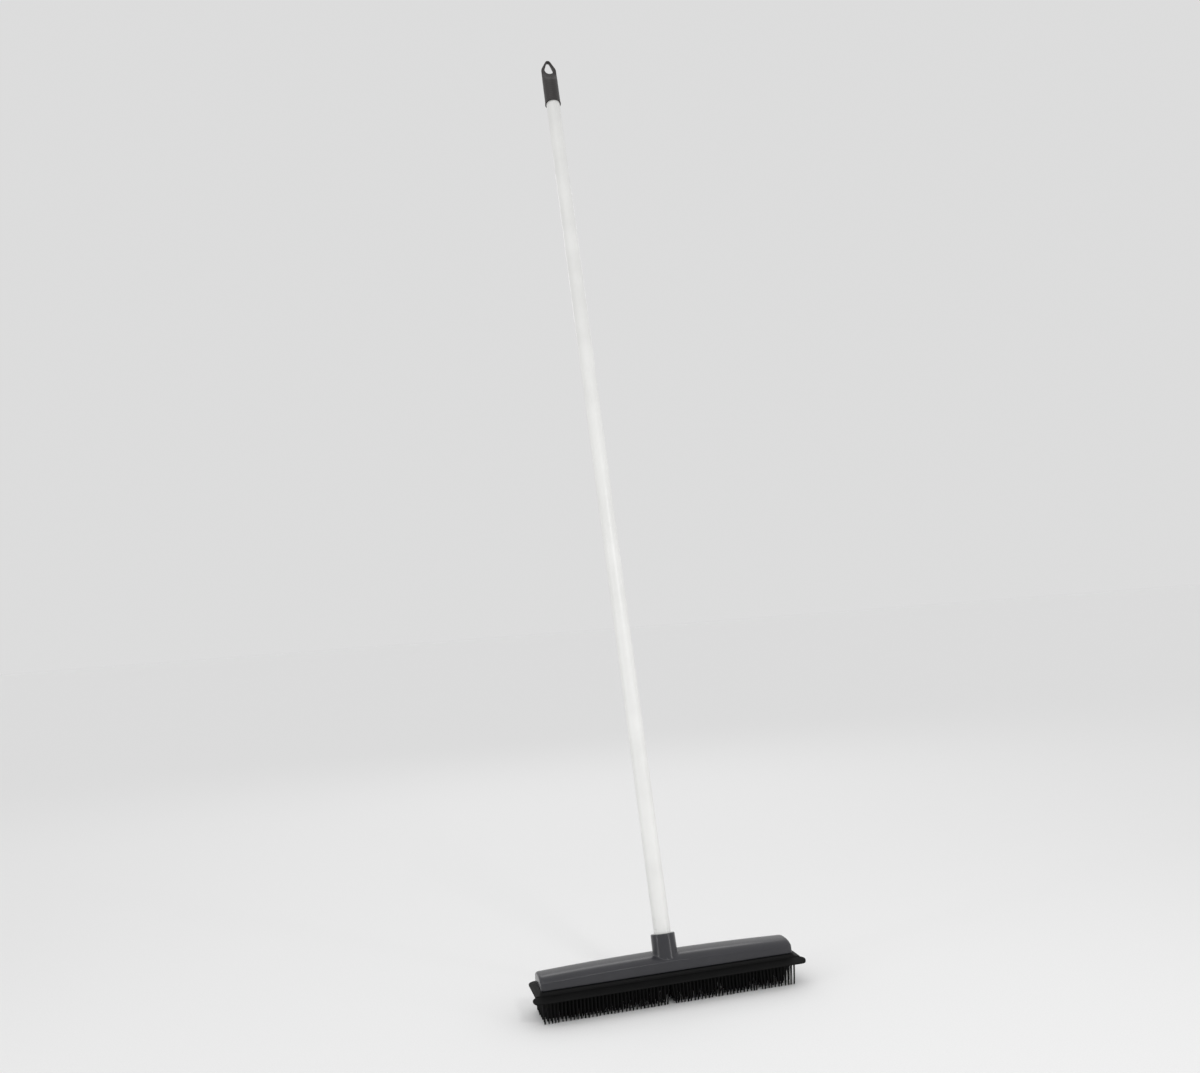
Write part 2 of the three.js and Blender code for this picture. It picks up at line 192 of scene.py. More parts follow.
def noiseSettings(sizeMm, detail):    # a pattern whose features are about this size
    return {"Scale": 1 / (sizeMm * metresPerMm), "Detail": detail}


def glossMouldedAbs():    # ABS from a polished mould: even grey, a clear soft reflection, the faintest ripple
    look = {
        "tint": ("#2D2D31", "#313135"), "rough": (0.2, 0.25), "flow": 34, "scuff": 7, "ripple": 16,
        "rippleHeight": 0.01,
    }
    material, tree, shader, place = startMaterial("glossMouldedAbs", {"IOR": 1.53, "Specular IOR Level": 0.4})
    flow = addNode(tree, "ShaderNodeTexNoise", noiseSettings(look["flow"], 3.0), {"Vector": place})
    tintBetween(tree, shader, flow.outputs["Fac"], *look["tint"])
    scuff = addNode(tree, "ShaderNodeTexNoise", noiseSettings(look["scuff"], 2.0), {"Vector": place})
    roughBetween(tree, shader, scuff.outputs["Fac"], *look["rough"])
    ripple = addNode(tree, "ShaderNodeTexNoise", noiseSettings(look["ripple"], 1.0), {"Vector": place})
    bumpFrom(tree, shader, ripple.outputs["Fac"], look["rippleHeight"])
    return material


# thermoplastic rubber: nearly black and dull; its fine satin skin is drawn coarser than the real one, to show
def mouldedRubber():
    look = {"tint": ("#050505", "#080808"), "rough": (0.5, 0.6), "bloom": 18, "skin": 0.5, "skinHeight": 0.02}
    material, tree, shader, place = startMaterial("mouldedRubber", {"IOR": 1.5, "Specular IOR Level": 0.12})
    bloom = addNode(tree, "ShaderNodeTexNoise", noiseSettings(look["bloom"], 4.0), {"Vector": place})
    tintBetween(tree, shader, bloom.outputs["Fac"], *look["tint"])
    roughBetween(tree, shader, bloom.outputs["Fac"], *look["rough"])
    skin = addNode(tree, "ShaderNodeTexNoise", noiseSettings(look["skin"], 2.0), {"Vector": place})
    bumpFrom(tree, shader, skin.outputs["Fac"], look["skinHeight"])
    return material


def whitePowderCoat():    # powder coat baked on steel tube: bright white, glossy, with a soft orange peel
    look = {
        "tint": ("#E6E6E4", "#ECECEA"), "rough": (0.3, 0.36), "cloud": 60, "peel": 2.2, "peelHeight": 0.003,
    }
    coat = {"IOR": 1.5, "Coat Weight": 0.1, "Coat Roughness": 0.2}
    material, tree, shader, place = startMaterial("whitePowderCoat", coat)
    cloud = addNode(tree, "ShaderNodeTexNoise", noiseSettings(look["cloud"], 2.0), {"Vector": place})
    tintBetween(tree, shader, cloud.outputs["Fac"], *look["tint"])
    roughBetween(tree, shader, cloud.outputs["Fac"], *look["rough"])
    peel = addNode(tree, "ShaderNodeTexNoise", noiseSettings(look["peel"], 1.0), {"Vector": place})
    bumpFrom(tree, shader, peel.outputs["Fac"], look["peelHeight"])
    return material


# PP from a spark-eroded mould: satin, with a fine even grain, drawn coarser than the real one, to show
def sparkedPolypropylene(name, dark, light, rough):
    look = {"cloud": 9, "grain": 0.45, "grainHeight": 0.03, "smoother": 0.04, "rougher": 0.05}
    material, tree, shader, place = startMaterial(name, {"IOR": 1.49, "Specular IOR Level": 0.45})
    cloud = addNode(tree, "ShaderNodeTexNoise", noiseSettings(look["cloud"], 3.0), {"Vector": place})
    tintBetween(tree, shader, cloud.outputs["Fac"], dark, light)
    roughBetween(tree, shader, cloud.outputs["Fac"], rough - look["smoother"], rough + look["rougher"])
    grain = addNode(tree, "ShaderNodeTexVoronoi", noiseSettings(look["grain"], 0.0), {"Vector": place})
    bumpFrom(tree, shader, grain.outputs["Distance"], look["grainHeight"])
    return material


def zincPlatedSteel():    # bright zinc on a pressed screw: grey, slightly yellow, with a soft uneven shine
    look = {"tint": ("#A3A4A2", "#B9B8B0"), "rough": (0.28, 0.42), "spangle": 0.8, "spangleHeight": 0.01}
    material, tree, shader, place = startMaterial("zincPlatedSteel", {"Metallic": 1.0})
    spangle = addNode(tree, "ShaderNodeTexNoise", noiseSettings(look["spangle"], 4.0), {"Vector": place})
    tintBetween(tree, shader, spangle.outputs["Fac"], *look["tint"])
    roughBetween(tree, shader, spangle.outputs["Fac"], *look["rough"])
    bumpFrom(tree, shader, spangle.outputs["Fac"], look["spangleHeight"])
    return material


coverAbs = glossMouldedAbs()
rubber = mouldedRubber()
powderCoat = whitePowderCoat()
capPolypropylene = sparkedPolypropylene("capPolypropylene", "#2B2727", "#322E2D", 0.42)
tipPolypropylene = sparkedPolypropylene("tipPolypropylene", "#1E1C1C", "#262423", 0.45)
platePolypropylene = sparkedPolypropylene("platePolypropylene", "#232325", "#2A2A2C", 0.5)
screwZinc = zincPlatedSteel()
print("materials ready")


thread = {    # the same helix on the tip and in the collar; shares and play are parts of the pitch
    "pitch": 4, "crest": 10.3, "root": 9.1, "crestShare": 1 / 3, "flankShare": 1 / 6, "play": 1 / 12,
    "clearance": 0.3,
}


def threadRadius(angle, height, widen=0.0):
    phase = angle / (2 * math.pi) - height / thread["pitch"]
    away = abs(phase - round(phase)) - thread["crestShare"] / 2 - widen
    fall = smoothStep(away / thread["flankShare"])
    return thread["crest"] + (thread["root"] - thread["crest"]) * fall


cover = {
    "wallHeight": 9, "arch": 3.6, "draft": 1, "domeRise": 5.9, "domePower": 3, "domeSteps": 44,
    "endRound": 5, "endTurns": (15, 30, 45, 60, 75, 90), "topRound": 2.6, "footRound": 1.5, "wall": 2.4,
    "insideFoot": 0.6, "creaseRound": 0.5, "creaseRow": 3, "patch": 25, "patchCells": 18, "sideCells": 14,
    "patchSlack": 0.1, "footBulge": 0.3, "sharpAngle": 28,
    "patchFirst": 2.8, "patchLast": 33.5,    # front and back of the collar's patch, counted in dome steps
}
collar = {
    "mouthRadius": 15.5, "footRadius": 16.1, "rimRound": 1.2, "filletFront": 1.1, "filletBack": 3.4,
    "filletSteps": 6, "wallSteps": 6, "blendSteps": 5, "recessRadius": 11.4, "recessDepth": 10,
    "recessChamfer": 0.7, "chamferBlend": 0.2, "boreDepth": 33.2, "boreFloor": 1.8, "floorChamfer": 1,
    "threadStep": 1 / 3, "searchDepth": 45, "searchSteps": 40,
}
coverLow, coverHigh = boxInMm("top_cover")
halfLength = coverHigh.x
halfWidth = coverHigh.y
coverFoot = coverLow.z


def archLift(x):
    return cover["arch"] * (1 - (x / halfLength) ** 2)


def endInset(fromEnd, radius):    # how far a rounded corner draws in at this distance from the end
    if fromEnd >= radius:
        return 0.0
    return radius - math.sqrt(max(0.0, radius ** 2 - (radius - fromEnd) ** 2))


def creaseHeight(inset):    # inset is 0 on the cover's outer skin and its wall's thickness on the inner one
    return cover["wallHeight"] - inset / 2


def creaseWidth(inset):    # from the middle out to the crease
    return halfWidth - inset - cover["draft"]


def domeRise(inset):
    return cover["domeRise"] - inset / 2


def sectionHeight(across, inset):    # across runs from -1 at the front crease to 1 at the back
    return creaseHeight(inset) + domeRise(inset) * (1 - abs(across) ** cover["domePower"])


def formCover(x, y, z, inset):    # bends the straight section into the arched, round-ended cover
    half = halfWidth - inset
    crease = creaseHeight(inset)
    fromEnd = halfLength - inset - abs(x)
    y = y * (half - endInset(fromEnd, cover["endRound"])) / half
    above = max(0.0, z - crease) * (1 - endInset(fromEnd, cover["topRound"]) / domeRise(inset))
    lift = archLift(x) * max(0.0, min(1.0, z / crease))
    return Vector((x, y, coverFoot + min(z, crease) + above + lift))


def domeHeight(x, y, inset):
    across = max(-1.0, min(1.0, y / creaseWidth(inset)))
    return formCover(x, creaseWidth(inset) * across, sectionHeight(across, inset), inset).z


def onCollar(angle, radius, height):    # a point round the handle axis
    return lean @ Vector((radius * math.cos(angle), radius * math.sin(angle), height))


def dropToDome(angle, radius, inset):    # height along the handle axis where a line beside it meets the dome
    high, low = 0.0, -collar["searchDepth"]
    for _ in range(collar["searchSteps"]):
        middle = (high + low) / 2
        point = onCollar(angle, radius, middle)
        if point.z > domeHeight(point.x, point.y, inset):
            high = middle
        else:
            low = middle
    return (high + low) / 2


def domeRow(step, inset):    # (sideways, height) on the straight section, before the cover is arched
    across = -math.cos(math.pi * step / cover["domeSteps"])
    return creaseWidth(inset) * across, sectionHeight(across, inset)


def wallRows(inset):    # (outwards, height) from the foot up to the dome's first row
    half = halfWidth - inset
    crease = creaseHeight(inset)
    rows = [(half, cover["insideFoot"])]
    if inset == 0:    # only the outer foot is rounded
        r = cover["footRound"]
        slope = cover["draft"] / cover["wallHeight"]
        bulge = cover["footBulge"] * r
        rows = [(half - r, 0.0), (half - bulge, bulge), (half - slope * r, r)]
    rows.append((half - cover["draft"] / 2, crease / 2))
    low = Vector((creaseWidth(inset), crease - cover["creaseRound"]))
    corner = Vector((creaseWidth(inset), crease))
    high = Vector(domeRow(cover["domeSteps"] - cover["creaseRow"], inset))
    for t in (0, 0.25, 0.5, 0.75):    # the crease is a small arc that catches the light
        rows.append(tuple(low * (1 - t) ** 2 + corner * 2 * t * (1 - t) + high * t * t))
    return rows


def stationsAlong(end):    # places along the head, closer together at the ends and round the collar
    ends = [-end + cover["endRound"] * (1 - math.cos(math.radians(a))) for a in cover["endTurns"]]
    patch, count = cover["patch"], cover["sideCells"]
    sides = [ends[-1] + (-patch - ends[-1]) * i / count for i in range(1, count)]
    left = [-end] + ends + sides
    middle = [-patch + 2 * patch * i / cover["patchCells"] for i in range(cover["patchCells"] + 1)]
    return left + middle + [-x for x in reversed(left)]


def openPatch(bm, inset):    # takes out the dome's faces round the collar and returns the hole's rim
    patch = cover["patch"]
    front, back = [domeRow(cover[key], inset)[0] for key in ("patchFirst", "patchLast")]
    lowest = creaseHeight(inset) - cover["patchSlack"]

    def isInPatch(face):
        middle = face.calc_center_median()
        return abs(middle.x) < patch and front < middle.y < back and middle.z > lowest

    inPatch = {f for f in bm.faces if isInPatch(f)}
    rim = {v for f in inPatch for v in f.verts if any(g not in inPatch for g in v.link_faces)}
    bmesh.ops.delete(bm, geom=[f for f in bm.faces if f in inPatch], context="FACES")
    return rim, (front + back) / 2, (back - front) / 2


def coverShell(bm, inset):    # walls and dome, open below; returns the hole's rim, in order round the collar
    walls = wallRows(inset)
    lastRow = cover["domeSteps"] - cover["creaseRow"]
    dome = [domeRow(step, inset) for step in range(cover["creaseRow"], lastRow + 1)]
    section = [(-y, z) for y, z in walls] + dome + list(reversed(walls))
    end = halfLength - inset
    stations = stationsAlong(end)
    row = joinChain(bm, [(-end, y, z) for y, z in section])
    wallEnds = [row]
    for before, after in zip(stations, stations[1:]):
        row = growEdges(bm, row, edgesAlong(bm, row))
        bmesh.ops.translate(bm, vec=(after - before, 0, 0), verts=row)
    wallEnds.append(row)
    for wallEnd in wallEnds:
        bmesh.ops.contextual_create(bm, geom=wallEnd)
    rim, middleY, halfDepth = openPatch(bm, inset)
    for v in bm.verts:
        v.co = formCover(*v.co, inset)
    return sorted(rim, key=lambda v: turnOf((v.co.y - middleY) / halfDepth, v.co.x / cover["patch"]))


def blendToRing(bm, ring, places, inset):    # turns the patch's square hole into the collar's round foot
    start = [v.co.copy() for v in ring]
    for step in range(1, collar["blendSteps"] + 1):
        t = step / collar["blendSteps"]
        ring = growLoop(bm, ring)
        for v, a, b in zip(ring, start, places):
            flat = a.lerp(b, t)
            v.co = Vector((flat.x, flat.y, domeHeight(flat.x, flat.y, inset)))
    return ring


def growTo(bm, ring, angles, radiusAt, heightAt):
    ring = growLoop(bm, ring)
    for v, angle in zip(ring, angles):
        v.co = onCollar(angle, radiusAt(angle), heightAt(angle))
    return ring


def filletSize(angle):    # small where the front wall comes close to the crease, larger behind
    share = (1 + math.sin(angle)) / 2
    return collar["filletFront"] + (collar["filletBack"] - collar["filletFront"]) * share


def wallRadius(height):
    share = min(1.0, -height / collar["boreDepth"])
    return collar["mouthRadius"] + (collar["footRadius"] - collar["mouthRadius"]) * share


def nutRadius(angle, height):
    return threadRadius(angle, height, widen=thread["play"]) + thread["clearance"]


def growCollar(bm, ring):
    angles = evenTurns(len(ring))
    footRadius = collar["footRadius"]
    wallFoot = {a: dropToDome(a, footRadius, 0) for a in angles}
    reach = {a: footRadius + filletSize(a) for a in angles}
    outer = {a: onCollar(a, reach[a], dropToDome(a, reach[a], 0)) for a in angles}
    ring = blendToRing(bm, ring, [outer[a] for a in angles], 0)
    top = {a: wallFoot[a] + filletSize(a) for a in angles}
    for step in range(1, collar["filletSteps"] + 1):    # a smooth curve from the dome up on to the wall
        t = step / collar["filletSteps"]
        ring = growLoop(bm, ring)
        for v, a in zip(ring, angles):
            corner = onCollar(a, footRadius, wallFoot[a])
            high = onCollar(a, wallRadius(top[a]), top[a])
            v.co = outer[a] * (1 - t) ** 2 + corner * 2 * t * (1 - t) + high * t * t
    for step in range(1, collar["wallSteps"] + 1):
        t = step / collar["wallSteps"]
        level = {a: top[a] + (-collar["rimRound"] - top[a]) * t for a in angles}
        ring = growTo(bm, ring, angles, lambda a: wallRadius(level[a]), lambda a: level[a])
    r = collar["rimRound"]
    for turn in (22.5, 45, 67.5, 90):    # rounded mouth edge
        radius = collar["mouthRadius"] - r * (1 - math.cos(math.radians(turn)))
        ring = growTo(bm, ring, angles, lambda a: radius, lambda a: -r + r * math.sin(math.radians(turn)))
    recess = collar["recessRadius"]
    chamfer, soft = collar["recessChamfer"], collar["chamferBlend"]
    recessWall = [(chamfer, 0), (soft, -soft), (0, -chamfer), (0, soft - collar["recessDepth"])]
    for wider, height in recessWall:
        ring = growTo(bm, ring, angles, lambda a: recess + wider, lambda a: height)
    height = -collar["recessDepth"]
    while height > -collar["boreDepth"]:
        ring = growTo(bm, ring, angles, lambda a: nutRadius(a, height), lambda a: height)
        height -= collar["threadStep"]
    ring = growTo(bm, ring, angles, lambda a: thread["root"], lambda a: -collar["boreDepth"])
    closeLoop(bm, ring)


def growSocket(bm, ring):    # the collar's lower end as it stands inside the hollow cover
    angles = evenTurns(len(ring))
    radius = collar["footRadius"] - cover["wall"]
    foot = {a: onCollar(a, radius, dropToDome(a, radius, cover["wall"])) for a in angles}
    ring = blendToRing(bm, ring, [foot[a] for a in angles], cover["wall"])
    bottom = -collar["boreDepth"] - collar["boreFloor"]
    chamfer = collar["floorChamfer"]
    ring = growTo(bm, ring, angles, lambda a: radius, lambda a: bottom + chamfer)
    ring = growTo(bm, ring, angles, lambda a: radius - chamfer, lambda a: bottom)
    closeLoop(bm, ring)


def makeCover():
    bm = bmesh.new()
    growCollar(bm, coverShell(bm, 0))
    outside = bm.copy()
    bm.free()
    inside = bmesh.new()
    growSocket(inside, coverShell(inside, cover["wall"]))
    spare = bpy.data.meshes.new("insideOfCover")
    inside.to_mesh(spare)
    inside.free()
    outside.from_mesh(spare)
    bpy.data.meshes.remove(spare)
    rims = [e for e in outside.edges if e.is_boundary]
    bmesh.ops.bridge_loops(outside, edges=rims)
    makePiece("top_cover_shell", outside, coverAbs, "head", "top_cover",
              sharpAngle=cover["sharpAngle"])


makeCover()


rimTop = boxInMm("rubber_insert")[1].z
insert = {
    "bristleLength": 32, "cornerSteps": 8, "sharpAngle": 50,
    "tongueTop": rimTop - 1, "tongueDepth": 2.2, "tongueReach": 0.3, "tongueCorner": 6,
    "lipEdgeThickness": 1.3, "lipDrop": 4.2, "lipCurve": 1.15, "lipCorner": 6.8, "lipEndReach": 4.4,
    "lipRows": (0.7, 1.6, 2.8, 4.2, 5.6, 7.2, 8.8, 10.2, 11.2, 11.8, 12.2, 12.4), "lipRound": 0.25,
}
lipReach = insert["lipRows"][-1]
# reach past the cover's outline at ends, front and back, then height, and corner radii in front and behind
insertRings = [
    (-2.1, -2.1, -2.1, insert["tongueTop"], 3.9, 3.9),
    (-2.1, -2.1, -2.1, rimTop, 3.9, 3.9),
    (0.4, 0.4, 0.4, rimTop, 6, 6),
    (1.0, 0.8, 1.0, rimTop - 0.5, 6, 6.5),
    (1.6, 1.15, 1.6, rimTop - 1.4, 5.5, 7),
    (2.3, 1.5, 2.3, rimTop - 2.2, 4.5, 7.5),
    (3.2, 1.85, 3.3, rimTop - 2.75, 3.5, 8),
    (4.6, 2.15, 4.8, rimTop - 3.05, 2.2, 8.6),
    (7.3, 2.4, 8.3, rimTop - 3.2, 0.9, 9.5),
    (7.8, 2.7, 8.8, rimTop - 3.45, 0.7, 9.9),
    (8.0, 2.8, 9.0, rimTop - 3.9, 0.7, 10),
    (8.0, 2.8, 9.0, insert["bristleLength"] + 0.5, 0.7, 10),
    (7.6, 2.5, 8.6, insert["bristleLength"], 0.6, 9.7),
]
lipRing = 10    # the lip grows from the flange edge's front face, between this ring and the next


def placeRing(ring, shape):
    reachEnd, reachFront, reachBack, height, radiusFront, radiusBack = shape
    perCorner = len(ring) // 4
    for i, v in enumerate(ring):
        corner, step = divmod(i, perCorner)
        angle = math.pi / 2 * (corner + step / (perCorner - 1))
        radius = radiusBack if corner < 2 else radiusFront
        sideX = 1 if corner in (0, 3) else -1
        centreX = sideX * (halfLength + reachEnd - radius)
        centreY = halfWidth + reachBack - radius if corner < 2 else -halfWidth - reachFront + radius
        v.co = Vector((centreX + radius * math.cos(angle), centreY + radius * math.sin(angle), height))


def lipHalfLength(forward):    # bulges past the notch at the fold, then rounds the corner into the edge
    full = halfLength + insertRings[lipRing][0] + insert["lipEndReach"]
    notch = full - insert["lipEndReach"]
    straight = lipReach - insert["lipCorner"]
    if forward <= straight:
        return notch + (full - notch) * math.sin(math.pi / 2 * forward / straight)
    past = min(forward - straight, insert["lipCorner"])
    return full - insert["lipCorner"] + math.sqrt(insert["lipCorner"] ** 2 - past ** 2)


def growLip(bm, face):
    start = min(v.co.y for v in face.verts)
    topStart = max(v.co.z for v in face.verts)
    thickStart = topStart - min(v.co.z for v in face.verts)
    for forward in insert["lipRows"]:
        made = bmesh.ops.extrude_face_region(bm, geom=[face])["geom"]
        bmesh.ops.delete(bm, geom=[face], context="FACES_ONLY")
        face = next(g for g in made if isinstance(g, bmesh.types.BMFace))
        share = forward / lipReach
        top = topStart - insert["lipDrop"] * share ** insert["lipCurve"]
        thick = thickStart + (insert["lipEdgeThickness"] - thickStart) * share
        rounding = insert["lipRound"] if forward == lipReach else 0.0
        middle = sum(v.co.z for v in face.verts) / 4
        for v in face.verts:
            upper = v.co.z > middle
            v.co.x = math.copysign(lipHalfLength(forward) - rounding, v.co.x)
            v.co.y = start - forward
            v.co.z = top - rounding if upper else top - thick + rounding


def makeInsert():
    bm = bmesh.new()
    ring = circleLoop(bm, 4 * insert["cornerSteps"])
    reach, corner, top = insert["tongueReach"], insert["tongueCorner"], insert["tongueTop"]
    placeRing(ring, (reach, reach, reach, top - insert["tongueDepth"], corner, corner))
    closeLoop(bm, ring)
    ring = growLoop(bm, ring)
    placeRing(ring, (reach, reach, reach, top, corner, corner))
    for index, shape in enumerate(insertRings):
        before = ring
        ring = growLoop(bm, ring)
        placeRing(ring, shape)
        if index == lipRing + 1:
            left = 3 * insert["cornerSteps"] - 1    # the last vertex of the front left corner
            corners = {before[left], before[left + 1], ring[left], ring[left + 1]}
            frontFace = next(f for f in ring[left].link_faces if set(f.verts) == corners)
    closeLoop(bm, ring)
    bmesh.ops.recalc_face_normals(bm, faces=bm.faces)
    growLip(bm, frontFace)
    makePiece("rubber_flange", bm, rubber, "head", "rubber_insert",
              sharpAngle=insert["sharpAngle"])


makeInsert()


# rings are depths under the flange; tipRing is a share of the tip's radius, and its height over the floor
bristles = {
    "columns": 71, "rows": 7, "columnPitch": 4.7, "rowPitch": 8.5, "rootRadius": 1.3, "tipRadius": 0.93,
    "rootFlare": 0.35, "rootDepth": 0.4, "rings": (0.9, 8, 16, 24, 31.2), "tipRing": (0.72, 0.22),
    "sides": 8, "sharpAngle": 60, "wander": 0.34, "seed": 7, "trim": 0.35, "bend": 1.5, "slant": 0.12,
    "leftLean": 1.6, "leftSpread": 22, "rightLean": 2.6, "rightSpread": 14,
}
# places along the head where the bristles part: middle, spread and how far the tips lean away from it
partings = [(-4, 10, 4.2), (-72, 5, 0.6), (64, 6, 1.5), (111, 7, 2.0), (143, 4, 0.7)]


def bristleLean(x, y, dice):
    leanX = dice.gauss(0, bristles["wander"])
    leanY = dice.gauss(0, bristles["wander"])
    for middle, spread, strength in partings:
        away = x - middle + bristles["slant"] * y
        leanX += math.copysign(strength, away) * math.exp(-abs(away) / spread)
    edge = bristles["columnPitch"] * (bristles["columns"] - 1) / 2
    leanX += bristles["leftLean"] * smoothStep((-x - edge) / bristles["leftSpread"] + 1)
    leanX -= bristles["rightLean"] * smoothStep((x - edge) / bristles["rightSpread"] + 1)
    return leanX, leanY


def makeBristles():
    bm = bmesh.new()
    root = insert["bristleLength"]
    r, tip = bristles["rootRadius"], bristles["tipRadius"]
    tipShare, tipHeight = bristles["tipRing"]
    profile = [(r + bristles["rootFlare"], root + bristles["rootDepth"])]
    profile += [(r + (tip - r) * d / root, root - d) for d in bristles["rings"]]
    profile += [(tip * tipShare, tipHeight), (0, 0)]
    spinProfile(bm, profile, bristles["sides"])
    template = list(bm.verts) + list(bm.edges) + list(bm.faces)
    shape = [v.co.copy() for v in bm.verts]
    dice = random.Random(bristles["seed"])
    edgeX = bristles["columnPitch"] * (bristles["columns"] - 1) / 2
    edgeY = bristles["rowPitch"] * (bristles["rows"] - 1) / 2
    for row in range(bristles["rows"]):
        for column in range(bristles["columns"]):
            x = column * bristles["columnPitch"] - edgeX
            y = row * bristles["rowPitch"] - edgeY
            leanX, leanY = bristleLean(x, y, dice)
            shorten = (leanX ** 2 + leanY ** 2) / (2 * root) + dice.uniform(0, bristles["trim"])
            made = bmesh.ops.duplicate(bm, geom=template)["geom"]
            fresh = [g for g in made if isinstance(g, bmesh.types.BMVert)]
            for v, at in zip(fresh, shape):
                depth = max(0.0, (root - at.z) / root)
                bend = depth ** bristles["bend"]
                v.co = Vector((at.x + x + leanX * bend, at.y + y + leanY * bend, at.z + shorten * depth))
    bmesh.ops.delete(bm, geom=[g for g in template if isinstance(g, bmesh.types.BMVert)], context="VERTS")
    makePiece("rubber_bristles", bm, rubber, "head", "rubber_insert",
              sharpAngle=bristles["sharpAngle"])


makeBristles()


tube = {
    "radius": 11, "wall": 0.5, "edge": 0.25, "steps": 96, "rowStep": 0.55,
    "dentRings": (11.5, 24.0), "dentAngles": (-1.1, 0.47, 2.04, 3.61), "dentRadius": 1.25, "dentDepth": 0.75,
    "dentMargin": 4, "dentLeast": 0.01,
}


def makeTube():
    low, high = spanOnHandle("handle_tube")
    r, edge, inner = tube["radius"], tube["edge"], tube["radius"] - tube["wall"]
    dented = tube["dentRings"]
    rows = []
    height = low + dented[0] - tube["dentMargin"]
    while height < low + dented[-1] + tube["dentMargin"]:
        rows.append((r, height))
        height += tube["rowStep"]
    profile = [(inner, low), (r - edge, low), (r, low + edge)] + rows
    profile += [(r, high - edge), (r - edge, high), (inner, high), (inner, low)]
    bm = bmesh.new()
    spinProfile(bm, profile, tube["steps"])
    for v in bm.verts:    # crimp dents that hold the threaded tip
        if math.hypot(v.co.x, v.co.y) < r - edge:
            continue
        angle = math.atan2(v.co.y, v.co.x)
        for ring in dented:
            for dent in tube["dentAngles"]:
                apart = (angle - dent + math.pi) % (2 * math.pi) - math.pi
                away = math.hypot(apart * r, v.co.z - low - ring) / tube["dentRadius"]
                depth = tube["dentDepth"] * math.exp(-away ** 4)
                if depth > tube["dentLeast"]:
                    v.co.xy *= (r - depth) / r
    makePiece("handle_tube_coated", bm, powderCoat, "handle", "handle_tube", lean)


makeTube()


tip = {
    "rimHeight": 2.6, "rimGap": 0.3, "threadLength": 20, "threadLead": 0.4, "fade": 2.5,
    "noseRadius": 7.4, "noseEdge": (0.5, 0.2), "spigotRadius": 10.2, "spigotEdge": 0.6, "hollowRadius": 8,
    "steps": 48, "rowStep": 1 / 12, "rowMargin": 0.1, "onRoot": 0.05,
}
# the neck's radius beyond the thread's root, and the rim's radius within the tube's, each with its height
tipNeck = [(0.3, 0), (0.8, 0.8)]
tipRim = [(0.4, 1.6), (0, 2), (0, 2.4), (0.2, tip["rimHeight"])]


def makeTip():
    low, high = spanOnHandle("thread_tip")
    shoulder = spanOnHandle("handle_tube")[0] - tip["rimGap"] - tip["rimHeight"]
    threadLow = shoulder - tip["threadLength"]
    root, nose, spigot = thread["root"], tip["noseRadius"], tip["spigotRadius"]
    edgeOut, edgeUp = tip["noseEdge"]
    lead, chamfer = tip["threadLead"], tip["spigotEdge"]
    profile = [(0, low), (nose, low), (nose + edgeOut, low + edgeUp), (root - lead, threadLow - lead)]
    rows = int(tip["threadLength"] / tip["rowStep"])
    profile += [(root, threadLow + i * tip["rowStep"]) for i in range(rows)]
    profile += [(root + wider, shoulder + up) for wider, up in tipNeck]
    profile += [(tube["radius"] - narrower, shoulder + up) for narrower, up in tipRim]
    profile += [(spigot, shoulder + tip["rimHeight"]), (spigot, high - chamfer), (spigot - chamfer, high)]
    profile += [(tip["hollowRadius"], high), (tip["hollowRadius"], shoulder), (0, shoulder)]
    bm = bmesh.new()
    spinProfile(bm, profile, tip["steps"])
    for v in bm.verts:
        isThreadRow = threadLow - tip["rowMargin"] < v.co.z < shoulder - tip["rowMargin"]
        if isThreadRow and abs(math.hypot(v.co.x, v.co.y) - root) < tip["onRoot"]:
            wanted = threadRadius(math.atan2(v.co.y, v.co.x), v.co.z)
            below, above = v.co.z - threadLow, shoulder - v.co.z
            fade = smoothStep(below / tip["fade"]) * smoothStep(above / tip["fade"])
            v.co.xy *= (root + (wanted - root) * fade) / root
    makePiece("thread_tip_moulded", bm, tipPolypropylene, "handle", "thread_tip", lean)


makeTip()


cap = {
    "radius": 12.4, "lip": 0.6, "lipHeight": 1.6, "lipEdge": 0.2,
    "ribs": 9, "ribPitch": 3.75, "ribDepth": 0.17, "ribStart": 1.5,
    "shoulder": 44, "neckBelow": 6, "neckAbove": 2, "tipRadius": 5.4, "topWall": 2.6, "squareness": 1.6,
    "eyeThickness": 6, "eyeLength": 24.5, "eyeRadius": 7.4, "eyeTipRadius": 2.8, "eyeEdge": 0.5,
    "eyeSteps": 12, "eyePoints": 240,
    "socketRadius": 11.25, "socketDepth": 42, "steps": 72, "rowStep": 0.75,
    "footRows": (0, 0.25, 1.4, 2.1), "topZone": 3, "topRows": (2.2, 1.5, 0.9, 0.45, 0.15),
    "leastDepth": 0.3, "aboveSocket": 1,
}


def capHalfWidth(down):    # half width seen from the front; down is measured from the cap's top
    r, tipR = cap["radius"], cap["tipRadius"]
    eyeDown = cap["topWall"] + cap["eyeLength"] - cap["eyeRadius"]
    side = math.asin((r - tipR) / (eyeDown - tipR))
    if down <= tipR * (1 - math.sin(side)):
        return math.sqrt(max(0.0, tipR ** 2 - (tipR - down) ** 2))
    if down >= eyeDown - r * math.sin(side):
        return math.sqrt(max(0.0, r ** 2 - max(0.0, eyeDown - down) ** 2))
    return (tipR + math.sin(side) * (down - tipR)) / math.cos(side)


def capHalfThickness(up):    # half thickness seen from the side; up is measured from the cap's mouth
    start = cap["shoulder"] - cap["neckBelow"]
    end = capLength - cap["topWall"] - cap["eyeLength"] + cap["neckAbove"]
    t = smoothStep((up - start) / (end - start))
    return cap["radius"] + (cap["eyeThickness"] / 2 - cap["radius"]) * t


